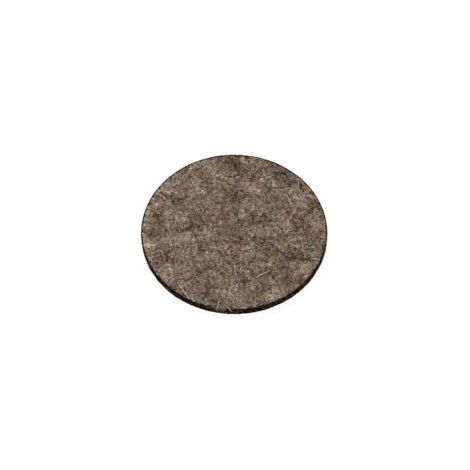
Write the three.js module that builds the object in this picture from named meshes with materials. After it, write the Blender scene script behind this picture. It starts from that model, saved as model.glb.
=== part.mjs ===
// A round felt furniture pad: one disc cut from a sheet of pressed wool felt.
// It lies on its back, which goes against the furniture foot, with the gliding face up.
// Millimetres, +Z up, origin at the centre of the back.
import * as THREE from "three";

// Driving dimensions
const DIAMETER = 75;
const THICKNESS = 3;
const FACE_ROUNDING = 0.3; // radius that the cutter leaves round the gliding face
const BACK_ROUNDING = 0.2; // radius round the back, where the cutter came out

// How finely the round shapes are faceted
const TURN_STEPS = 144;
const ROUNDING_STEPS = 5;

const FELT_COLOUR = new THREE.Color().setRGB(0.455, 0.39, 0.336, THREE.SRGBColorSpace);
const FELT_ROUGHNESS = 0.95;

const LOWEST = -Math.PI / 2; // the angle at which a rounding meets the back
const LEVEL = 0; // the angle at which a rounding meets the wall
const HIGHEST = Math.PI / 2; // the angle at which a rounding meets the face

// A quarter round of the section, as points from one angle to another.
function rounding(radius, wallRadius, height, from, to) {
  const centreRadius = wallRadius - radius;
  return Array.from({ length: ROUNDING_STEPS + 1 }, (_, step) => {
    const angle = from + ((to - from) * step) / ROUNDING_STEPS;
    return new THREE.Vector2(
      centreRadius + radius * Math.cos(angle),
      height + radius * Math.sin(angle),
    );
  });
}

// Half the section, from the middle of the back, up the wall, to the middle of the face.
function padSection() {
  const wallRadius = DIAMETER / 2;
  return [
    new THREE.Vector2(0, 0),
    ...rounding(BACK_ROUNDING, wallRadius, BACK_ROUNDING, LOWEST, LEVEL),
    ...rounding(FACE_ROUNDING, wallRadius, THICKNESS - FACE_ROUNDING, LEVEL, HIGHEST),
    new THREE.Vector2(0, THICKNESS),
  ];
}

function feltPad() {
  const disc = new THREE.LatheGeometry(padSection(), TURN_STEPS);
  disc.rotateX(Math.PI / 2);
  const felt = new THREE.MeshStandardMaterial({
    color: FELT_COLOUR,
    roughness: FELT_ROUGHNESS,
    metalness: 0,
  });
  const pad = new THREE.Mesh(disc, felt);
  pad.name = "felt_pad";
  return pad;
}

const furniturePad = new THREE.Group();
furniturePad.add(feltPad());

export default furniturePad;
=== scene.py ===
import math

import bpy
import numpy as np
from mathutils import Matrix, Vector


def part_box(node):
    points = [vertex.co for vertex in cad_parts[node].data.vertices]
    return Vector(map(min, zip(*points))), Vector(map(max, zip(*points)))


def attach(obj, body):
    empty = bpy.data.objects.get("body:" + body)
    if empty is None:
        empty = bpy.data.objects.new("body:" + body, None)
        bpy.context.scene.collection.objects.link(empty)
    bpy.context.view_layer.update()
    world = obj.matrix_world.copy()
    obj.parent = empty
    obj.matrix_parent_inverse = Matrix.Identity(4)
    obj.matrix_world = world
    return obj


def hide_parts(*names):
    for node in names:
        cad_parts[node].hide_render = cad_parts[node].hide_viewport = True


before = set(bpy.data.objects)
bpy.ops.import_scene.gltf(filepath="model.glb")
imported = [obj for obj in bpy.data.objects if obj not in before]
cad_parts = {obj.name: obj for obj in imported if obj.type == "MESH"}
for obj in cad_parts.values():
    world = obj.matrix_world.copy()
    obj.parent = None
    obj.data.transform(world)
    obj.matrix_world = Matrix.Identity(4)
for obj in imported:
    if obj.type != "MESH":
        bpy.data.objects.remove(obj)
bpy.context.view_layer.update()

# The looks of a round felt furniture pad: a disc of pressed wool felt, lying on its back.
# The body is one closed mesh with the relief of matted wool. Thousands of fibres lie on it.
# Everything is in metres, +Z up, in the frame of the CAD model.

MM = 0.001

# The pad's size, from the frame

pad_low, pad_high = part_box("felt_pad")
pad_points = np.array([vertex.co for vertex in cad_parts["felt_pad"].data.vertices])
pad_reach = np.hypot(pad_points[:, 0], pad_points[:, 1])
RADIUS = (pad_high.x - pad_low.x) / 2
THICKNESS = pad_high.z - pad_low.z
LEVEL = 0.001 * MM  # how far off a point may lie and still be level with a flat face
FACE_RADIUS = float(pad_reach[pad_points[:, 2] > THICKNESS - LEVEL].max())
BACK_RADIUS = float(pad_reach[pad_points[:, 2] < LEVEL].max())
FACE_ROUNDING = RADIUS - FACE_RADIUS
BACK_ROUNDING = RADIUS - BACK_RADIUS

# How fine the body's mesh is

FACE_CELLS = 240  # across the gliding face, so its rim has four times as many points
BACK_CELLS = 120  # across the back, half as fine
RIM_POINTS = 4 * FACE_CELLS
FACE_ROUNDING_STEPS = 5
WALL_STEPS = 12
BACK_ROUNDING_STEPS = 3

# The relief and the tints of the matted wool are drawn on a canvas as fine as this

CANVAS_STEP = 0.15 * MM
CANVAS_REACH = 1.03  # how far the canvas reaches from the middle, in radii of the pad
CANVAS_SIDE = 2 * int(math.ceil(RADIUS * CANVAS_REACH / CANVAS_STEP))
CANVAS = (CANVAS_SIDE, CANVAS_SIDE)
EDGE_ROWS = 32  # up the cut edge, which has a canvas of its own
EDGE_CANVAS = (EDGE_ROWS, int(round(2 * math.pi * RADIUS / CANVAS_STEP)))

# Colours, as linear red, green and blue

WOOL = np.array([0.354, 0.268, 0.202])
PALE_HAIR = np.array([0.86, 0.76, 0.66])
CUT_EDGE = np.array([0.030, 0.0182, 0.0122])
FACE_RIM = 0.5 * CUT_EDGE
DARK_RIM = 0.46 * MM  # how far the dark colour reaches in from the rim over the face
BLACK_RIM = 0.20 * MM  # and how far it is darkest
RIM_SWING = 0.05 * MM  # how much wider both are at the front and the back than at the sides
RIM_RAGGED = 0.35  # how unevenly the dark colour fades into the wool's

# Shifts of the logarithm of red, green and blue: lighter wool is greyer, darker wool is browner

LIGHTER = np.array([0.86, 1.00, 1.15])
REDDER = np.array([0.048, -0.018, -0.010])
YELLOWER = np.array([0.005, 0.010, -0.058])
ROOT = 2.3  # equal shifts of a colour's root look alike in the picture
DARKEST = 0.25  # the least that a tint leaves of the root
OWN_HUE = 0.25  # how much single fibres stray to red and to yellow

# How strong the patches of each size are, by the distance between them

TONE_PATCHES = {22 * MM: 0.04, 14 * MM: 0.16, 9 * MM: 0.08, 3.6 * MM: 0.03, 2.0 * MM: 0.03}
RED_PATCHES = {30 * MM: 0.45, 16 * MM: 0.35, 9 * MM: 0.58, 5 * MM: 0.38}
YELLOW_PATCHES = {16 * MM: 0.40, 9 * MM: 0.62, 5 * MM: 0.75}
EDGE_PATCHES = {9 * MM: 0.25, 3 * MM: 0.55, 1.2 * MM: 0.60}
PAINTED_LIGHT_LEFT = 0.10  # painted light: how much lighter the left rim is painted than the middle, as the light falls from the left
CLOUD_BAND = 0.45  # how much the lumps in one cloud of noise differ in size

# The lumps of wool and the gaps between them

LUMPS = 3.6 * MM  # how far apart the lumps are
OUTLINE = 0.2  # how wide the gaps along their outlines are, which get painted shade, as a share of the spread of the noise
BREAKS = 7 * MM  # how far apart the places are where the outlines fade out
LISTED_GAP = 0.2 * MM  # how widely the listed gaps are blurred
GAP_DEPTH = 0.08 * MM
GAP_PAINTED_SHADE = 1.2  # painted shade: how much darker a gap is painted
PIT_PAINTED_SHADE, FIBRE_PIT_PAINTED_SHADE = 0.15, 0.08  # painted shade: how much darker a pit is painted, and the fibres over it
DEEPEST_PIT = 2.5  # as a share of the spread of the relief
SOFTENED = 0.09 * MM  # how widely the face's relief is blurred
SWELL, SWELLS_APART = 0.035 * MM, 5 * MM  # of the wide, low swells of the face
EDGE_SWELL = 0.03 * MM
BACK_HOLLOW = 0.06 * MM  # how high the back's relief lies on the whole
BACK_RELIEF = 0.5  # how strong it is beside the face's


# Random fields

def cloud(rng, shape, wavelength):
    """Smooth noise with a mean of 0 and a spread of 1, whose lumps are about a wavelength apart."""
    rows = np.fft.fftfreq(shape[0], CANVAS_STEP)[:, None]
    columns = np.fft.rfftfreq(shape[1], CANVAS_STEP)[None, :]
    frequency = np.hypot(rows, columns) * wavelength
    passed = np.exp(-((frequency - 1) ** 2) / (2 * CLOUD_BAND**2)) * (frequency > 0)
    noise = np.fft.irfft2(np.fft.rfft2(rng.standard_normal(shape)) * passed, s=shape)
    return noise / noise.std()


def clouds(rng, shape, patches):
    """Patches of several sizes, each as strong as given."""
    return sum(strength * cloud(rng, shape, wavelength) for wavelength, strength in patches.items())


def blurred(field, width):
    """The field smoothed by a bell curve of that width, its edges wrapped round."""
    rows = np.fft.fftfreq(field.shape[0], CANVAS_STEP)[:, None]
    columns = np.fft.rfftfreq(field.shape[1], CANVAS_STEP)[None, :]
    passed = np.exp(-2 * (math.pi * width) ** 2 * (rows**2 + columns**2))
    return np.fft.irfft2(np.fft.rfft2(field) * passed, s=field.shape)


def sampled(field, columns, rows):
    """The field's values between its pixels."""
    high, wide = field.shape[:2]
    columns = np.clip(columns, 0, wide - 1.001)
    rows = np.clip(rows, 0, high - 1.001)
    left, low = columns.astype(int), rows.astype(int)
    across, up = columns - left, rows - low
    if field.ndim == 3:
        across, up = across[..., None], up[..., None]
    lower = field[low, left] * (1 - across) + field[low, left + 1] * across
    upper = field[low + 1, left] * (1 - across) + field[low + 1, left + 1] * across
    return lower * (1 - up) + upper * up


def canvas_place(x, y):
    """Where a point of the face lies on the canvas, in pixels."""
    return x / CANVAS_STEP + CANVAS_SIDE / 2, y / CANVAS_STEP + CANVAS_SIDE / 2


# The paths of fibres, as flat lines

def on_disc(rng, count, radius):
    """Random places, as many to each part of the disc."""
    out = radius * np.sqrt(rng.uniform(0, 1, count))
    turn = rng.uniform(0, 2 * math.pi, count)
    return np.stack([out * np.cos(turn), out * np.sin(turn)], -1)


def wander(rng, starts, lengths, steps, bend, crimp, waves=(0.8, 2.2)):
    """Paths that bend and crimp as wool does, one row of steps + 1 points each."""
    count = len(starts)
    along = np.linspace(0, 1, steps + 1)[None, :]
    heading = rng.uniform(0, 2 * math.pi, (count, 1))
    turn = rng.normal(0, bend, (count, 1)) * along
    phase = rng.uniform(*waves, (count, 1)) * along * 2 * math.pi
    swing = rng.normal(0, crimp, (count, 1)) * np.sin(phase + rng.uniform(0, 2 * math.pi, (count, 1)))
    angle = heading + turn + swing
    angle = (angle[:, 1:] + angle[:, :-1]) / 2
    stride = (lengths / steps)[:, None]
    moves = np.stack([np.cos(angle) * stride, np.sin(angle) * stride], -1)
    return starts[:, None] + np.concatenate([np.zeros((count, 1, 2)), moves.cumsum(1)], 1)


def directions(paths):
    """The way that each path runs at each of its points."""
    along = np.gradient(paths, axis=1)
    return along / (np.linalg.norm(along, axis=2, keepdims=True) + 1e-15)


def side_by_side(rng, lead, members, gap):
    """Each path with others beside it, and the number of the group that each belongs to.

    A member strays a little from its lane and runs a little askew.
    """
    stray, skew = 0.3 * gap, 0.8 * gap
    along = directions(lead)
    side = np.stack([-along[..., 1], along[..., 0]], -1)
    count, points = lead.shape[:2]
    part = np.linspace(0, 1, points)[None, :]
    paths = []
    for member in range(members):
        shift = (member - (members - 1) / 2) * gap + rng.normal(0, stray, count)
        spread = rng.normal(0, skew, count)
        paths.append(lead + side * (shift[:, None] + spread[:, None] * part)[..., None])
    return np.concatenate(paths), np.tile(np.arange(count), members)


def resampled(paths, last, steps):
    """Each path from its start to its own last place, as steps + 1 points."""
    place = np.linspace(0, 1, steps + 1)[None, :] * last[:, None]
    low = np.minimum(place.astype(int), paths.shape[1] - 2)
    part = (place - low)[..., None]
    rows = np.arange(len(paths))[:, None]
    return paths[rows, low] * (1 - part) + paths[rows, low + 1] * part


def cut_at_rim(rng, paths, radius, steps, ragged=0.0):
    """The paths cut off where they would leave the disc, and which of them are long enough to keep."""
    least = 0.25 * paths.shape[1]  # points
    reach = radius - rng.uniform(0, 1, (len(paths), 1)) * ragged
    out = np.hypot(paths[..., 0], paths[..., 1]) > reach
    last = np.where(out.any(1), out.argmax(1) - 1, paths.shape[1] - 1)
    kept = last > least
    return resampled(paths[kept], last[kept].astype(float), steps), kept


# Tints

def tinted(tone, red, yellow):
    """Linear colours of wool that is lighter, redder and yellower by these amounts.

    Equal shifts up and down look alike in the picture, whose brightness goes with the root.
    """
    shift = tone[..., None] * LIGHTER + red[..., None] * REDDER + yellow[..., None] * YELLOWER
    return WOOL * np.maximum(1 + shift / ROOT, DARKEST) ** ROOT


def local_tints(rng, fields, paths, shade):
    """Colours that suit the patch where each fibre lies, lighter or darker by its own shade."""
    middle = paths[:, paths.shape[1] // 2]
    place = canvas_place(middle[:, 0], middle[:, 1])
    tone, red, yellow = (sampled(field, *place) for field in fields)
    red = red + rng.normal(0, OWN_HUE, len(paths))
    yellow = yellow + rng.normal(0, OWN_HUE, len(paths))
    return tinted(tone + shade, red, yellow)


# The canvas

# The longest gaps, painted dark as shade, as three places each, in millimetres from the pad's middle
GAPS = [
    ((0.0, 34.6), (0.4, 31.9), (0.8, 29.1)),
    ((-4.7, 27.7), (-1.6, 26.4), (3.1, 27.9)),
    ((25.9, 21.6), (27.8, 19.7), (29.2, 17.3)),
    ((-15.4, 29.8), (-13.6, 30.9), (-12.0, 31.9)),
    ((17.1, -8.6), (19.3, -10.9), (21.0, -12.5)),
    ((21.3, -12.5), (27.3, -13.5), (33.6, -14.5)),
    ((-19.8, 0.2), (-17.9, 1.7), (-15.9, 3.2)),
    ((16.1, 28.2), (18.5, 28.4), (20.9, 28.0)),
    ((-13.6, 6.4), (-12.8, 4.5), (-11.9, 2.6)),
    ((1.0, 9.8), (1.5, 6.7), (1.9, 3.6)),
    ((8.9, -10.9), (8.2, -12.5), (7.6, -14.1)),
]


def curves(places, steps):
    """A curve through each three places, given in millimetres."""
    t = np.linspace(0, 1, steps + 1)[None, :, None]
    first, middle, last = (place[:, None] for place in np.moveaxis(np.array(places) * MM, 1, 0))
    pull = 2 * middle - (first + last) / 2
    return (1 - t) ** 2 * first + 2 * t * (1 - t) * pull + t**2 * last


def gap_field(rng):
    """1 where a gap parts the lumps of wool, to be sunk and painted dark as shade: the outlines of random
    lumps and the listed gaps.
    """
    outlines = np.exp(-((cloud(rng, CANVAS, LUMPS) / OUTLINE) ** 2))
    outlines *= np.clip(cloud(rng, CANVAS, BREAKS) + 0.5, 0, 1)
    listed = np.zeros(CANVAS)
    paths = curves(GAPS, steps=200)
    columns, rows = (np.round(place).astype(int) for place in canvas_place(paths[..., 0], paths[..., 1]))
    listed[rows, columns] = 1
    listed = blurred(listed, LISTED_GAP)
    return np.maximum(outlines, listed / listed.max())


def painted(strokes, relief, colour):
    """Draws strokes over relief and colour, the highest on top. A stroke is round across and along."""
    lanes = 7
    paths, widths, levels, colours = strokes
    count, points = paths.shape[:2]
    along = directions(paths)
    side = np.stack([-along[..., 1], along[..., 0]], -1)
    arch = np.sin(np.linspace(0.12, math.pi - 0.12, points))
    places, heights = [], []
    for lane in np.linspace(-1, 1, lanes):
        places.append(paths + side * (lane * widths / 2)[:, None, None])
        crown = np.sqrt(1 - 0.8 * lane**2) * widths / 4
        heights.append((levels + crown)[:, None] * arch)
    places, heights = np.stack(places), np.stack(heights)
    columns, rows = (np.round(place).astype(int) for place in canvas_place(places[..., 0], places[..., 1]))
    owner = np.broadcast_to(np.arange(count)[None, :, None], columns.shape)
    inside = (columns >= 0) & (columns < CANVAS_SIDE) & (rows >= 0) & (rows < CANVAS_SIDE)
    columns, rows, owner, heights = columns[inside], rows[inside], owner[inside], heights[inside]
    order = np.argsort(heights)
    relief[rows[order], columns[order]] = heights[order]
    colour[rows[order], columns[order]] = colours[owner[order]]


def face_strokes(rng, fields):
    """The locks painted all over the canvas, the higher ones lighter and the lower ones darker as painted
    shade.
    """
    groups = 5200
    starts = on_disc(rng, groups, RADIUS * 1.02)
    lengths = rng.uniform(1.6, 4.6, groups) * MM
    lead = wander(rng, starts, lengths, steps=40, bend=1.7, crimp=0.8)
    paths, owner = side_by_side(rng, lead, members=3, gap=0.55 * MM)
    widths = rng.uniform(0.30, 0.62, len(paths)) * MM
    levels = (rng.uniform(0.0, 0.30, groups)[owner] + rng.uniform(0, 0.08, len(paths))) * MM
    shade = rng.normal(0, 0.18, groups)[owner] + rng.normal(0, 0.30, len(paths))
    # Painted shade: the lower locks are darker, the higher ones lighter
    shade += 0.5 * (levels / levels.max() - 0.6)
    return paths, widths, levels, local_tints(rng, fields, paths, shade)


def face_canvas(rng):
    """The relief and the colours of the matted wool over the whole face, and its fields of tint, with
    painted shade in the pits and gaps and painted light on the left.
    """
    fields = [clouds(rng, CANVAS, patches) for patches in (TONE_PATCHES, RED_PATCHES, YELLOW_PATCHES)]
    # Painted light: the wool is painted lighter on the left and darker on the right, as the light falls
    # from the left
    fields[0] -= PAINTED_LIGHT_LEFT * np.linspace(-1, 1, CANVAS_SIDE)[None, :]
    relief = np.zeros(CANVAS)
    between = 0.6  # painted shade: how much darker the wool is that shows between the locks
    colour = tinted(fields[0] - between, fields[1], fields[2])
    painted(face_strokes(rng, fields), relief, colour)
    # The gaps between the lumps are sunk into the relief and painted dark as shade
    gaps = gap_field(rng)
    relief = blurred(relief, SOFTENED)
    relief += SWELL * cloud(rng, CANVAS, SWELLS_APART) - GAP_DEPTH * gaps
    relief -= relief.mean()
    # Painted shade: the wool is painted darker in its pits and gaps, and so are the fibres that lie over
    # them
    pit_shade = np.clip(-relief / relief.std(), 0, DEEPEST_PIT)
    colour *= np.exp((-PIT_PAINTED_SHADE * pit_shade - GAP_PAINTED_SHADE * gaps)[..., None] * LIGHTER)
    fields[0] = fields[0] - FIBRE_PIT_PAINTED_SHADE * pit_shade - GAP_PAINTED_SHADE * gaps
    return relief, colour, fields


SEED = 41
random = np.random.default_rng(SEED)
face_relief, face_colour, face_tint_and_shade_fields = face_canvas(random)


def relief_at(x, y):
    """How high the wool stands at a point of the face."""
    return sampled(face_relief, *canvas_place(x, y))


def colour_at(x, y):
    """The wool's colour at a point of the face, with its painted shade and light."""
    return sampled(face_colour, *canvas_place(x, y))


def edge_canvas(rng):
    """The relief, the tone and the painted shade of the cut edge, unrolled: its rows go up the section.

    It is darkest close to the back, which is painted shade where it meets the floor, and lightest in the
    middle.
    """
    tone = clouds(rng, EDGE_CANVAS, EDGE_PATCHES)
    relief = EDGE_SWELL * cloud(rng, EDGE_CANVAS, 1.0 * MM)
    relief += EDGE_SWELL * cloud(rng, EDGE_CANVAS, 6 * MM)
    up = np.linspace(0, 1, EDGE_ROWS)
    # Painted shade: darker towards the back, where the edge meets the floor, and a little darker towards
    # the face
    middle = np.interp(up, (0, 0.35, 0.80, 1), (0, 1, 1, 0.55))[:, None]
    tone = tone * (0.3 + 0.7 * middle) + 1.3 * middle - 1.1
    return relief, tone


edge_relief, edge_tone_and_shade = edge_canvas(random)
edge_colour = CUT_EDGE * np.exp(edge_tone_and_shade)[..., None]
rim_raggedness = cloud(random, EDGE_CANVAS, 2.5 * MM)[:1]


def edge_place(turn, height):
    """Where a point of the cut edge lies on its canvas, in pixels."""
    return (turn / (2 * math.pi) % 1) * (EDGE_CANVAS[1] - 1), height / THICKNESS * (EDGE_ROWS - 1)


# Meshes

def mesh_object(name, points, faces, colours, maps):
    """A smooth mesh with a colour at each point and its own map for baking."""
    mesh = bpy.data.meshes.new(name)
    mesh.from_pydata(points.tolist(), [], faces)
    mesh.polygons.foreach_set("use_smooth", np.ones(len(mesh.polygons), bool))
    tint = mesh.color_attributes.new("tint", "FLOAT_COLOR", "POINT")
    opaque = np.ones((len(colours), 1))
    tint.data.foreach_set("color", np.concatenate([colours, opaque], 1).astype(np.float32).ravel())
    layer = mesh.uv_layers.new(name="OFBake")
    layer.uv.foreach_set("vector", maps.astype(np.float32).ravel())
    mesh.update()
    piece = bpy.data.objects.new(name, mesh)
    bpy.context.scene.collection.objects.link(piece)
    return piece


def disc_grid(cells):
    """Points on a unit disc, cells + 1 each way, spread evenly, with a square's topology."""
    line = np.linspace(-1, 1, cells + 1)
    a, b = np.meshgrid(line, line)
    wide = np.abs(a) > np.abs(b)
    with np.errstate(divide="ignore", invalid="ignore"):
        turn = np.where(wide, math.pi / 4 * b / a, math.pi / 2 - math.pi / 4 * a / b)
    out = np.where(wide, a, b)
    turn = np.where(out == 0, 0, turn)
    return np.stack([out * np.cos(turn), out * np.sin(turn)], -1).reshape(-1, 2)


def grid_quads(cells, up):
    """The grid's quads, facing up or down."""
    row, column = np.meshgrid(np.arange(cells), np.arange(cells), indexing="ij")
    first = (row * (cells + 1) + column).ravel()
    quads = np.stack([first, first + 1, first + cells + 2, first + cells + 1], 1)
    return quads if up else quads[:, ::-1]


def grid_rim(cells):
    """The grid's rim, anticlockwise from its lower left corner, as indices."""
    side = cells + 1
    return np.concatenate([
        np.arange(cells),
        cells + side * np.arange(cells),
        side * side - 1 - np.arange(cells),
        side * (side - 1) - side * np.arange(cells),
    ])


def edge_section():
    """The rings below the face's rim: radius, height and the slope that the skin faces along."""
    low, high = BACK_ROUNDING, THICKNESS - FACE_ROUNDING
    rings = []
    for step in range(1, FACE_ROUNDING_STEPS + 1):
        slope = math.pi / 2 * (1 - step / FACE_ROUNDING_STEPS)
        out = FACE_RADIUS + FACE_ROUNDING * math.cos(slope)
        rings.append((out, high + FACE_ROUNDING * math.sin(slope), slope))
    for step in range(1, WALL_STEPS):
        rings.append((RADIUS, high + (low - high) * step / WALL_STEPS, 0.0))
    for step in range(BACK_ROUNDING_STEPS):
        slope = -math.pi / 2 * step / BACK_ROUNDING_STEPS
        out = BACK_RADIUS + BACK_ROUNDING * math.cos(slope)
        rings.append((out, low + BACK_ROUNDING * math.sin(slope), slope))
    return rings


# The body's map holds the face, the back and the edge, unrolled in three strips

FACE_SPOT, FACE_SPREAD = np.array([0.335, 0.49]), 0.325
BACK_SPOT, BACK_SPREAD = np.array([0.78, 0.80]), 0.19
STRIPS = 3
STRIP_POINTS = RIM_POINTS // STRIPS
STRIP_START, STRIP_WIDE, STRIP_HIGH, STRIP_PITCH = 0.01, 0.98, 0.036, 0.046


def strip_maps(from_top, to_top):
    """Where the quads between two rings lie on the map, by their shares of the way down the edge."""
    number = np.arange(RIM_POINTS)
    left = STRIP_START + (number % STRIP_POINTS) / STRIP_POINTS * STRIP_WIDE
    right = left + STRIP_WIDE / STRIP_POINTS
    base = STRIP_START + number // STRIP_POINTS * STRIP_PITCH
    upper, lower = base + from_top * STRIP_HIGH, base + to_top * STRIP_HIGH
    corners = [(left, upper), (left, lower), (right, lower), (right, upper)]
    return np.stack([np.stack(corner, -1) for corner in corners], 1)


class Skin:
    """The parts of the body's skin as they are added: points, colours, faces and their maps."""

    def __init__(self):
        self.points, self.colours, self.faces, self.maps = [], [], [], []
        self.count = 0

    def add_points(self, flat, height, colours):
        """Takes points in and says the number of the first."""
        first = self.count
        self.points.append(np.column_stack([flat, height]))
        self.colours.append(colours)
        self.count += len(flat)
        return first

    def add_faces(self, faces, maps):
        self.faces += faces.tolist()
        self.maps.append(maps.reshape(-1, 2))


def add_face(skin):
    """The gliding face, darker close to its rim: the rim's points and their angles."""
    flat = disc_grid(FACE_CELLS) * FACE_RADIUS
    x, y = flat.T
    turn = np.arctan2(y, x)
    column, _ = edge_place(turn, 0)
    ragged = sampled(np.repeat(rim_raggedness, 2, 0), column, np.zeros(len(flat)))
    black = BLACK_RIM - RIM_SWING * np.cos(2 * turn)
    reach = (DARK_RIM - BLACK_RIM) * np.clip(1 + RIM_RAGGED * ragged, 0.4, 2)
    inward = np.clip((FACE_RADIUS - black - np.hypot(x, y)) / reach, 0, 1)[:, None]
    colours = inward * colour_at(x, y) + (1 - inward) * FACE_RIM
    first = skin.add_points(flat, THICKNESS + relief_at(x, y), colours)
    quads = grid_quads(FACE_CELLS, True)
    skin.add_faces(first + quads, (FACE_SPOT + flat / FACE_RADIUS * FACE_SPREAD)[quads])
    rim = first + grid_rim(FACE_CELLS)
    return rim, turn[rim - first]


def add_edge(skin, rim, turn):
    """The roundings and the wall, ring by ring: the last ring and its share of the map."""
    spin = np.stack([np.cos(turn), np.sin(turn)], -1)
    near_rim = relief_at(*(spin * FACE_RADIUS).T)
    rings = edge_section()
    share_before = 0.0
    for number, (radius, height, slope) in enumerate(rings):
        place = edge_place(turn, np.full(RIM_POINTS, height))
        upward = max(0.0, math.sin(slope))
        swell = upward * near_rim + (1 - upward) * sampled(edge_relief, *place)
        swell = swell * min(1.0, math.cos(min(slope, 0.0)))
        ring = spin * (radius + swell * math.cos(slope))[:, None]
        level = np.maximum(height + swell * math.sin(slope), 0)
        first = skin.add_points(ring, level, sampled(edge_colour, *place))
        after = first + np.arange(RIM_POINTS)
        quads = np.stack([rim, after, np.roll(after, -1), np.roll(rim, -1)], 1)
        share = (number + 1) / (len(rings) + 1)
        skin.add_faces(quads, strip_maps(share_before, share))
        rim, share_before = after, share
    return rim, share_before


def add_back(skin, rim, share_before):
    """The back, half as fine, and the triangles that join it to the last ring."""
    flat = disc_grid(BACK_CELLS) * BACK_RADIUS
    x, y = flat.T
    back_rim = grid_rim(BACK_CELLS)
    height = np.maximum(0, BACK_HOLLOW - BACK_RELIEF * relief_at(x, y))
    height[back_rim] = 0
    first = skin.add_points(flat, height, colour_at(x, y))
    quads = grid_quads(BACK_CELLS, False)
    skin.add_faces(first + quads, (BACK_SPOT + flat / BACK_RADIUS * BACK_SPREAD)[quads])
    here = first + back_rim
    there = np.roll(here, -1)
    a, b, c = rim[0::2], rim[1::2], np.roll(rim, -2)[0::2]
    fans = np.stack([np.stack(t, -1) for t in ((a, here, b), (here, there, b), (there, c, b))], 1)
    even, odd = (strip_maps(share_before, 1.0)[k::2] for k in (0, 1))
    a_map, here_map, b_map = even[:, 0], even[:, 1], even[:, 3]
    there_map, c_map = odd[:, 2], odd[:, 3]
    corner_maps = [a_map, here_map, b_map, here_map, there_map, b_map, there_map, c_map, b_map]
    skin.add_faces(fans.reshape(-1, 3), np.stack(corner_maps, 1))


def felt_body():
    """The felt itself, one closed skin."""
    skin = Skin()
    rim, turn = add_face(skin)
    rim, share = add_edge(skin, rim, turn)
    add_back(skin, rim, share)
    points, colours = np.concatenate(skin.points), np.concatenate(skin.colours)
    return mesh_object("felt_body", points, skin.faces, colours, np.concatenate(skin.maps))


# Fibres

SHADES = 64  # the tints that a piece's fibres come in
RIDGES = (math.pi / 2, math.pi * 7 / 6, math.pi * 11 / 6)  # round a tube, the first outwards
FIBRE_LIGHT = 0.46  # how much lighter the face's fibres are than the wool below them
HELD_BACK = 0.7  # how much of a light shade is left
FEW_WAVES = (0.5, 1.2)  # in the crimp of a short fibre


def tubes(paths, outward, radii, taper):
    """Closed three-sided tubes along paths, one ridge outwards: their points and triangles."""
    count, rings = paths.shape[:2]
    along = directions(paths)
    side = np.cross(along, outward)
    side /= np.linalg.norm(side, axis=2, keepdims=True) + 1e-15
    over = np.cross(side, along)
    thick = radii[:, None] * taper[None, :]
    points = []
    for angle in RIDGES:
        across, upwards = math.cos(angle) * thick, math.sin(angle) * thick
        points.append(paths + side * across[..., None] + over * upwards[..., None])
    points = np.stack(points, 2).reshape(-1, 3)
    start = np.arange(count) * rings * 3
    ring = np.arange(rings - 1) * 3
    first = start[:, None, None] + ring[None, :, None]
    here = np.arange(3)[None, None, :]
    there = (here + 1) % 3
    a, b = first + here, first + there
    c, d = b + 3, a + 3
    walls = np.stack([np.stack([a, b, c], -1), np.stack([a, c, d], -1)], 3).reshape(-1, 3)
    end = start + (rings - 1) * 3
    caps = np.concatenate([
        np.stack([start, start + 2, start + 1], 1),
        np.stack([end, end + 1, end + 2], 1),
    ])
    return points, np.concatenate([walls, caps])


def fibre_piece(name, paths, outward, radii, colours):
    """One piece of many fibres. Fibres of like colour share a strip of the map, clear of its borders."""
    count, rings = paths.shape[:2]
    along = np.linspace(0, 1, rings)
    taper = np.clip(np.sin(math.pi * (0.04 + 0.92 * along)), 0.05, 1) ** 0.6
    points, triangles = tubes(paths, outward, radii, taper)
    shade = np.empty(count, int)
    shade[np.argsort(colours.sum(1))] = np.arange(count) * SHADES // count
    means = np.stack([colours[shade == k].mean(0) for k in range(SHADES)])
    fibre = np.repeat(np.arange(count), rings * 3)
    ring = np.tile(np.repeat(np.arange(rings), 3), count)
    corner = np.tile(np.arange(3), count * rings)
    across = (shade[fibre] + 0.2 + 0.3 * corner) / SHADES
    maps = np.stack([across, 0.02 + 0.96 * ring / (rings - 1)], 1)
    return mesh_object(name, points, triangles.tolist(), means[shade][fibre], maps[triangles.ravel()])


def wrapped(flat, rise):
    """Flat paths laid on the face, over its rim and down the wall: places and the way out."""
    pressed = 0.6  # how much closer they lie to the wall than to the face
    x, y = flat[..., 0], flat[..., 1]
    turn, out = np.arctan2(y, x), np.hypot(x, y)
    past = np.maximum(out - FACE_RADIUS, 0)
    bend = np.minimum(past / FACE_ROUNDING, math.pi / 2)
    over, up = np.sin(bend), np.cos(bend)
    out = np.minimum(out, FACE_RADIUS)
    height = THICKNESS - FACE_ROUNDING * (1 - up) - np.maximum(past - FACE_ROUNDING * math.pi / 2, 0)
    on_face = relief_at(out * np.cos(turn), out * np.sin(turn))
    on_edge = sampled(edge_relief, *edge_place(turn, height))
    rise = rise * (1 - pressed * over) + up * on_face + (1 - up) * on_edge
    radius = out + (FACE_ROUNDING + rise) * over
    places = np.stack([radius * np.cos(turn), radius * np.sin(turn), height + rise * up], -1)
    return places, np.stack([over * np.cos(turn), over * np.sin(turn), up], -1)


def laid_on_face(rng, flat, lift, sink):
    """The paths on the skin: over its relief in the middle, sunk in at both ends."""
    count, points = flat.shape[:2]
    along = np.linspace(0, 1, points)[None, :]
    arch = np.sin(math.pi * along) ** 0.5
    phase = along * rng.uniform(1, 2.5, (count, 1)) + rng.uniform(0, 1, (count, 1))
    ripple = 1 + 0.3 * np.sin(2 * math.pi * phase)
    return wrapped(flat, lift[:, None] * arch * ripple - sink[:, None] * (1 - arch))


def with_gap_shade_ones(rng, shade, share, darker):
    """The shades, the light ones held back, a share of them much darker as painted shade of the gaps
    between fibres.
    """
    shade = np.minimum(shade, HELD_BACK * shade)
    return np.where(rng.uniform(0, 1, len(shade)) < share, shade - darker, shade)


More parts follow.
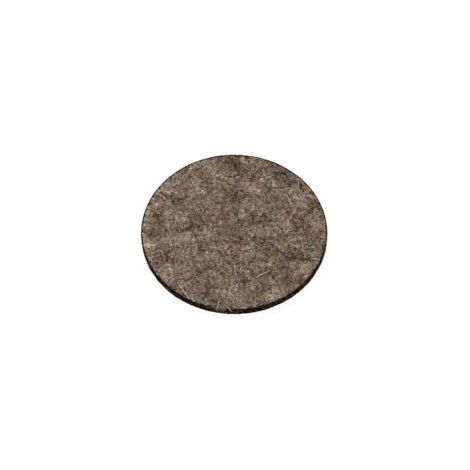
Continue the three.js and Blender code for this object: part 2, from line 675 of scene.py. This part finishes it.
def face_locks(rng):
    """Small locks of fibres that lie close together."""
    steps = 7
    groups = 880
    starts = on_disc(rng, groups, FACE_RADIUS)
    lengths = rng.uniform(1.8, 4.6, groups) * MM
    lead = wander(rng, starts, lengths, 4 * steps, bend=1.5, crimp=0.45, waves=FEW_WAVES)
    flat, owner = side_by_side(rng, lead, members=5, gap=0.10 * MM)
    flat, kept = cut_at_rim(rng, flat, FACE_RADIUS - 0.25 * MM, steps, ragged=0.4 * MM)
    owner = owner[kept]
    # A share of the locks is painted dark as shade of the gaps between fibres
    shade = with_gap_shade_ones(rng, rng.normal(0, 0.26, groups), share=0.12, darker=1.3)[owner]
    shade += FIBRE_LIGHT + rng.normal(0, 0.12, len(flat))
    colours = local_tints(rng, face_tint_and_shade_fields, flat, shade)
    radii = rng.uniform(0.035, 0.060, len(flat)) * MM
    lift = rng.uniform(0.02, 0.10, len(flat)) * MM
    sink = rng.uniform(0.05, 0.12, len(flat)) * MM
    return fibre_piece("face_locks", *laid_on_face(rng, flat, lift, sink), radii, colours)


def tuft(rng, steps):
    """Fibres close together that hang over the rim at the front, left of the middle."""
    count = 120
    x, y = rng.uniform(-7.8, -3.6, count), rng.uniform(-36.6, -35.0, count)
    starts = np.stack([x, y], -1) * MM
    aside, outward = rng.normal(0, 0.5, count), rng.uniform(-2.6, -1.2, count)
    ends = starts + np.stack([aside, outward], -1) * MM
    along = np.linspace(0, 1, steps + 1)[None, :, None]
    sway = rng.normal(0, 0.25, (count, 1, 1)) * MM * np.sin(math.pi * along) * np.array([1.0, 0.0])
    return starts[:, None] * (1 - along) + ends[:, None] * along + sway


def face_fibres(rng):
    """Single fibres, longer than the locks."""
    steps = 10
    count = 3100
    starts = on_disc(rng, count, FACE_RADIUS)
    lengths = rng.uniform(2.5, 8, count) * MM
    flat = wander(rng, starts, lengths, 4 * steps, bend=1.6, crimp=0.6)
    flat, _ = cut_at_rim(rng, flat, FACE_RADIUS - 0.2 * MM, steps, ragged=0.5 * MM)
    flat = np.concatenate([flat, tuft(rng, steps)])
    own = rng.normal(0, 0.30, len(flat))
    # A share of the fibres is painted dark as shade of the gaps between fibres
    shade = FIBRE_LIGHT + with_gap_shade_ones(rng, own, share=0.18, darker=1.2)
    colours = local_tints(rng, face_tint_and_shade_fields, flat, shade)
    radii = rng.uniform(0.025, 0.045, len(flat)) * MM
    lift = rng.uniform(0.04, 0.16, len(flat)) * MM
    sink = rng.uniform(0.04, 0.10, len(flat)) * MM
    return fibre_piece("face_fibres", *laid_on_face(rng, flat, lift, sink), radii, colours)


# Hairs that show as pale lines: the radius, then three places, in millimetres from the pad's middle.
# Past the rim, the millimetres go on over it and down the wall.
HAIRS = [
    (0.11, (-27.5, -0.3), (-25.7, -5.1), (-23.3, -13.5)),
    (0.10, (-14.9, -5.0), (-15.3, -8.8), (-15.9, -12.8)),
    (0.09, (-28.7, -14.2), (-27.0, -15.6), (-25.5, -17.8)),
    (0.27, (-22.9, -24.1), (-20.2, -28.4), (-17.6, -32.5)),
    (0.13, (-24.5, -22.6), (-21.0, -22.4), (-17.6, -21.7)),
    (0.14, (-0.3, -14.7), (0.3, -18.8), (1.5, -23.2)),
    (0.25, (8.6, -22.4), (10.6, -21.0), (13.9, -19.3)),
    (0.10, (25.7, 25.0), (26.3, 22.0), (25.7, 19.0)),
    (0.12, (26.0, 15.4), (22.6, 6.0), (15.7, -0.9)),
    (0.11, (16.2, 5.1), (19.4, 8.6), (23.6, 10.2)),
    (0.09, (5.0, 18.8), (6.3, 20.6), (8.0, 22.2)),
    (0.06, (6.0, 18.6), (7.2, 20.0), (8.6, 21.3)),
    (0.15, (-4.7, -34.4), (-2.6, -36.2), (-0.4, -38.7)),
    (0.18, (-5.9, -32.8), (-6.3, -35.0), (-7.2, -37.8)),
    (0.12, (-3.5, -38.8), (-3.4, -39.4), (-3.5, -40.0)),
    (0.09, (-13.2, 6.9), (-12.4, 5.6), (-11.2, 3.8)),
]


def loose_hairs(rng, steps):
    """Fine hairs anywhere on the face. Some hang over its rim."""
    count = 420
    starts = on_disc(rng, count, FACE_RADIUS)
    lengths = rng.uniform(2, 7, count) * MM
    flat = wander(rng, starts, lengths, 4 * steps, bend=1.3, crimp=0.4)
    flat, _ = cut_at_rim(rng, flat, FACE_RADIUS + 1.2 * MM, steps, ragged=1.2 * MM)
    return flat, rng.uniform(0.030, 0.055, len(flat)) * MM


def dark_specks(rng, steps):
    """Short dark bits, clear of the rim."""
    count = 50
    starts = on_disc(rng, count, FACE_RADIUS - 1 * MM)
    lengths = rng.uniform(0.4, 1.0, count) * MM
    return wander(rng, starts, lengths, steps, bend=0.5, crimp=0.2)


def face_hairs(rng):
    """What lies on top: the listed hairs, loose ones, dark fibres as painted shade in the listed gaps, and
    dark specks.

    The lists of four numbers give them in that order.
    """
    steps = 14
    chosen = curves([hair[1:] for hair in HAIRS], steps)
    chosen_radii = np.array([hair[0] for hair in HAIRS]) * MM
    loose, loose_radii = loose_hairs(rng, steps)
    # Dark fibres laid along the listed gaps as their painted shade
    gap_shade_fibres, _ = side_by_side(rng, curves(GAPS, steps), members=5, gap=0.11 * MM)
    specks = dark_specks(rng, steps)
    flat = np.concatenate([chosen, loose, gap_shade_fibres, specks])
    kinds = (len(chosen), len(loose), len(gap_shade_fibres), len(specks))
    dark_radii = np.repeat([0.055, 0.240], kinds[2:]) * MM
    radii = np.concatenate([chosen_radii, loose_radii, dark_radii])
    # The fibres in the gaps are painted dark as shade; the specks are dark wool
    shade = np.repeat([0.0, -0.6, -2.9, -3.1], kinds)
    shade += rng.normal(0, 0.3, len(flat)) * (shade < 0)
    lift = np.repeat([0.22, 0.19, 0.07, 0.03], kinds) * rng.uniform(0.5, 1.5, len(flat)) * MM
    sink = np.full(len(flat), 0.04 * MM)
    wool = np.repeat([PALE_HAIR, PALE_HAIR, WOOL * 2.5, WOOL * 2.5], kinds, 0)
    colours = wool * np.exp(shade)[:, None]
    return fibre_piece("face_hairs", *laid_on_face(rng, flat, lift, sink), radii, colours)


def edge_reach(turn, height):
    """How far out the cut edge's skin is at that height."""
    into_rounding = np.clip((height - (THICKNESS - FACE_ROUNDING)) / FACE_ROUNDING, 0, 1)
    reach = FACE_RADIUS + FACE_ROUNDING * np.sqrt(1 - into_rounding**2)
    into_back = np.clip((BACK_ROUNDING - height) / BACK_ROUNDING, 0, 1)
    reach -= BACK_ROUNDING * (1 - np.sqrt(1 - into_back**2))
    reach += sampled(edge_relief, *edge_place(turn, height)) * (1 - into_rounding)
    return reach


def edge_fibres(rng):
    """Dark fibres over the cut edge, more level than steep, with a few lighter ones."""
    steps = 7
    count = 3600
    around = rng.uniform(0, 2 * math.pi * RADIUS, count)
    starts = np.stack([around, rng.uniform(0.05, 0.95, count) * THICKNESS], -1)
    lengths = rng.uniform(1.2, 3.6, count) * MM
    flat = wander(rng, starts, lengths, steps, bend=1.0, crimp=0.4, waves=FEW_WAVES)
    steepness = 0.55
    climb = steepness * (flat[..., 1] - starts[:, None, 1])
    height = np.clip(starts[:, None, 1] + climb, 0.12 * MM, THICKNESS - 0.06 * MM)
    turn = flat[..., 0] / RADIUS
    skin = edge_reach(turn, height)
    arch = np.sin(math.pi * np.linspace(0, 1, steps + 1)[None, :]) ** 0.5
    skin += rng.uniform(-0.01, 0.06, (count, 1)) * MM * arch - 0.06 * MM * (1 - arch)
    paths = np.stack([skin * np.cos(turn), skin * np.sin(turn), height], -1)
    outward = np.stack([np.cos(turn), np.sin(turn), np.zeros_like(turn)], -1)
    tone = sampled(edge_tone_and_shade, *edge_place(turn, height))[:, steps // 2, None]
    shade = 0.1 + tone + rng.normal(0, 0.6, (count, 1)) + rng.normal(0, 0.05, (count, 3))
    radii = rng.uniform(0.030, 0.055, count) * MM
    return fibre_piece("edge_fibres", paths, outward, radii, CUT_EDGE * np.exp(shade))


def back_fibres(rng):
    """Fibres of the back, pressed flat by what the pad lies on."""
    steps = 6
    groups = 1350
    inner = BACK_RADIUS - 0.3 * MM
    starts = on_disc(rng, groups, inner)
    lengths = rng.uniform(2.5, 6, groups) * MM
    lead = wander(rng, starts, lengths, 4 * steps, bend=1.2, crimp=0.35, waves=FEW_WAVES)
    flat, owner = side_by_side(rng, lead, members=2, gap=0.12 * MM)
    flat, kept = cut_at_rim(rng, flat, inner, steps)
    shade = rng.normal(0, 0.38, groups)[owner[kept]]
    colours = local_tints(rng, face_tint_and_shade_fields, flat, shade)
    radii = rng.uniform(0.04, 0.07, len(flat)) * MM
    arch = np.sin(math.pi * np.linspace(0, 1, steps + 1)) ** 0.5
    height = np.broadcast_to((0.16 - 0.09 * arch) * MM, flat.shape[:2])
    paths = np.concatenate([flat, height[..., None]], 2)
    return fibre_piece("back_fibres", paths, np.array([0.0, 0.0, -1.0]), radii, colours)


body = felt_body()
made = [
    body,
    face_locks(random),
    face_fibres(random),
    face_hairs(random),
    edge_fibres(random),
    back_fibres(random),
]


# Materials

MATT = 0.01  # wool hardly shines
CROWN = -0.9  # how much lower a strand's sides are than its middle
LEAST_GAIN = (0.15, 0.15, 0.15)  # so that no strand is quite black


def new_material(name, roughness):
    """A matt wool material, its node tree and its shader."""
    material = bpy.data.materials.new(name)
    material.use_nodes = True
    tree = material.node_tree
    shader = tree.nodes["Principled BSDF"]
    shader.inputs["Roughness"].default_value = roughness
    shader.inputs["Specular IOR Level"].default_value = MATT
    return material, tree, shader


def attribute(tree, name):
    """The colour that the mesh holds under that name."""
    node = tree.nodes.new("ShaderNodeAttribute")
    node.attribute_name = name
    return node.outputs["Color"]


def calculated(tree, kind, operation, *values):
    """A maths node of that kind. Its values are sockets, numbers or vectors."""
    node = tree.nodes.new(kind)
    node.operation = operation
    for place, value in enumerate(values):
        if isinstance(value, bpy.types.NodeSocket):
            tree.links.new(value, node.inputs[place])
        else:
            node.inputs[place].default_value = value
    return node.outputs[0]


def sums(tree, operation, *values):
    """The outcome of a sum with numbers."""
    return calculated(tree, "ShaderNodeMath", operation, *values)


def vectors(tree, operation, *values):
    """The outcome of a sum with colours or vectors."""
    return calculated(tree, "ShaderNodeVectorMath", operation, *values)


def tangle(tree, length, width, turns, wave, sway):
    """Strands that lie any way across each other: how high the top one is, and its own shade.

    Each turn is a layer of strands, shifted against the others.
    """
    nodes, link = tree.nodes, tree.links.new
    place = nodes.new("ShaderNodeTexCoord").outputs["Object"]
    noise = nodes.new("ShaderNodeTexNoise")
    noise.inputs["Scale"].default_value = 1 / wave
    noise.inputs["Detail"].default_value = 0
    link(place, noise.inputs["Vector"])
    bent = vectors(tree, "MULTIPLY_ADD", noise.outputs["Color"], (sway, sway, sway), place)
    height, shade = None, None
    for number, turn in enumerate(turns):
        lay = nodes.new("ShaderNodeMapping")
        lay.vector_type = "TEXTURE"
        lay.inputs["Location"].default_value = (0.13 * number, 0.07 * number, 0)
        lay.inputs["Rotation"].default_value = (0, 0, turn)
        lay.inputs["Scale"].default_value = (length, width, width)
        link(bent, lay.inputs["Vector"])
        cells = nodes.new("ShaderNodeTexVoronoi")
        cells.inputs["Scale"].default_value = 1
        link(lay.outputs[0], cells.inputs["Vector"])
        own = nodes.new("ShaderNodeSeparateColor")
        link(cells.outputs["Color"], own.inputs["Color"])
        top = sums(tree, "MULTIPLY_ADD", cells.outputs["Distance"], CROWN, own.outputs["Red"])
        if height is None:
            height, shade = top, own.outputs["Green"]
            continue
        pick = nodes.new("ShaderNodeMix")
        link(sums(tree, "GREATER_THAN", top, height), pick.inputs["Factor"])
        link(shade, pick.inputs["A"])
        link(own.outputs["Green"], pick.inputs["B"])
        height, shade = sums(tree, "MAXIMUM", height, top), pick.outputs["Result"]
    return height, shade


def fibre_material():
    """Wool in the fibre's own tint."""
    material, tree, shader = new_material("wool_fibre", 0.85)
    tree.links.new(attribute(tree, "tint"), shader.inputs["Base Color"])
    return material


def body_material():
    """Matted wool: the painted tints, crossed by strands and fibres finer than the mesh, painted darker as
    shade where these lie low.
    """
    material, tree, shader = new_material("matted_wool", 0.95)
    link = tree.links.new
    turns = (0.3, 0.95, 1.6, 2.2, 2.8)
    size = {"length": 3.2 * MM, "width": 0.45 * MM, "wave": 2.5 * MM, "sway": 1.6 * MM}
    strand, strand_shade = tangle(tree, turns=turns, **size)
    turns = (0.1, 0.8, 1.55, 2.4)
    size = {"length": 1.4 * MM, "width": 0.13 * MM, "wave": 0.9 * MM, "sway": 0.5 * MM}
    fibre, fibre_shade = tangle(tree, turns=turns, **size)
    light = -1.90  # takes off about as much as the strands and fibres add
    # Where the top strand or fibre lies low the wool is darker, as painted shade; their own shades are
    # tone
    for value, weight in ((strand, 1.35), (strand_shade, 1.0), (fibre, 0.5), (fibre_shade, 0.45)):
        light = sums(tree, "MULTIPLY_ADD", value, weight, light)
    gain = vectors(tree, "MULTIPLY_ADD", light, tuple(LIGHTER), (1, 1, 1))
    gain = vectors(tree, "MAXIMUM", gain, LEAST_GAIN)
    link(vectors(tree, "MULTIPLY", attribute(tree, "tint"), gain), shader.inputs["Base Color"])
    bump = tree.nodes.new("ShaderNodeBump")
    bump.inputs["Strength"].default_value = 1.0
    bump.inputs["Distance"].default_value = 0.20 * MM
    link(sums(tree, "MULTIPLY_ADD", fibre, 0.3, strand), bump.inputs["Height"])
    link(bump.outputs[0], shader.inputs["Normal"])
    return material


wool_fibre = fibre_material()
matted_wool = body_material()
for piece in made:
    piece.data.materials.append(matted_wool if piece is body else wool_fibre)
    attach(piece, "root")
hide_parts("felt_pad")


# Floor, light and camera

FLOOR_GLOW = 0.92  # what the camera sees of the floor without any light on it
FLOOR_SEEN = 0.10  # and what the light adds to that, which the pad's shadow takes away
FLOOR_PALE = 0.8  # how much light the floor sends back to the pad
FLOOR_DROP = 0.02 * MM  # keeps the floor clear of the back


def seen_directly(tree):
    """1 for what the camera sees, directly, in a mirror or through glass."""
    path = tree.nodes.new("ShaderNodeLightPath")
    found = path.outputs["Is Camera Ray"]
    for kind in ("Is Glossy Ray", "Is Transmission Ray"):
        found = sums(tree, "MAXIMUM", found, path.outputs[kind])
    return found


def matt(tree, brightness):
    """A plain grey surface."""
    node = tree.nodes.new("ShaderNodeBsdfDiffuse")
    node.inputs["Color"].default_value = (brightness, brightness, brightness, 1)
    return node.outputs[0]


def floor_material():
    """White to the camera, with the pad's shadow on it, and a plain pale floor to the light."""
    material = bpy.data.materials.new("pale_floor")
    material.use_nodes = True
    tree = material.node_tree
    tree.nodes.clear()
    glow = tree.nodes.new("ShaderNodeEmission")
    glow.inputs["Strength"].default_value = FLOOR_GLOW
    seen = tree.nodes.new("ShaderNodeAddShader")
    tree.links.new(matt(tree, FLOOR_SEEN), seen.inputs[0])
    tree.links.new(glow.outputs[0], seen.inputs[1])
    pick = tree.nodes.new("ShaderNodeMixShader")
    tree.links.new(seen_directly(tree), pick.inputs["Fac"])
    tree.links.new(matt(tree, FLOOR_PALE), pick.inputs[1])
    tree.links.new(seen.outputs[0], pick.inputs[2])
    out = tree.nodes.new("ShaderNodeOutputMaterial")
    tree.links.new(pick.outputs[0], out.inputs["Surface"])
    return material


def add_floor(side):
    """A square of floor under the pad."""
    half = side / 2
    mesh = bpy.data.meshes.new("floor")
    corners = [(-half, -half, 0), (half, -half, 0), (half, half, 0), (-half, half, 0)]
    mesh.from_pydata(corners, [], [(0, 1, 2, 3)])
    mesh.materials.append(floor_material())
    floor = bpy.data.objects.new("floor", mesh)
    floor.location.z = -FLOOR_DROP
    bpy.context.scene.collection.objects.link(floor)


def add_world(strength):
    """Even light from all round, and white where the camera sees past the floor."""
    world = bpy.data.worlds.new("studio")
    bpy.context.scene.world = world
    world.use_nodes = True
    tree = world.node_tree
    background = tree.nodes["Background"]
    background.inputs["Color"].default_value = (1, 1, 1, 1)
    level = tree.nodes.new("ShaderNodeMapRange")
    level.inputs["To Min"].default_value = strength
    level.inputs["To Max"].default_value = 1.0
    tree.links.new(seen_directly(tree), level.inputs["Value"])
    tree.links.new(level.outputs[0], background.inputs["Strength"])


def away(azimuth, elevation):
    """The direction from the pad at that azimuth and elevation, in degrees. 0, 0 is -Y."""
    a, e = math.radians(azimuth), math.radians(elevation)
    return Vector((math.sin(a) * math.cos(e), -math.cos(a) * math.cos(e), math.sin(e)))


def add_softbox(name, azimuth, elevation, distance, side, share):
    """A square lamp that faces the pad and gives that share of the plain light to what faces it."""
    data = bpy.data.lights.new(name, "AREA")
    data.size = side
    data.energy = share * math.pi**2 * distance**2
    lamp = bpy.data.objects.new(name, data)
    back = away(azimuth, elevation)
    lamp.location = back * distance
    lamp.rotation_mode = "QUATERNION"
    lamp.rotation_quaternion = back.to_track_quat("Z", "Y")
    bpy.context.scene.collection.objects.link(lamp)


PICTURE_SIDE = 470  # pixels
PAD_RADIUS_SEEN = 92.94  # pixels
PAD_LEFT, PAD_UP = 0.8, 2.05  # how far the pad's middle lies off the picture's, in pixels
LENS, SENSOR = 200.0, 36.0


def add_camera(elevation):
    """The camera, so far off that the pad has its size in the picture."""
    data = bpy.data.cameras.new("camera")
    data.lens, data.sensor_width = LENS, SENSOR
    data.clip_start, data.clip_end = 0.01, 20.0
    camera = bpy.data.objects.new("camera", data)
    bpy.context.scene.collection.objects.link(camera)
    bpy.context.scene.camera = camera
    back = away(0, elevation)
    right = Vector((1, 0, 0))
    up = back.cross(right)
    pixel = RADIUS / PAD_RADIUS_SEEN
    middle = Vector((0, 0, THICKNESS / 2))
    target = middle + right * PAD_LEFT * pixel - up * PAD_UP * pixel
    camera.location = target + back * LENS / SENSOR * PICTURE_SIDE * pixel
    camera.rotation_mode = "QUATERNION"
    camera.rotation_quaternion = back.to_track_quat("Z", "Y")


add_floor(side=1.2)
add_world(strength=0.45)
add_softbox("key", azimuth=205, elevation=40, distance=1.2, side=0.35, share=0.70)
add_softbox("fill", azimuth=60, elevation=60, distance=1.4, side=0.7, share=0.12)
add_camera(elevation=56.95)

bpy.context.scene.view_settings.view_transform = "Standard"
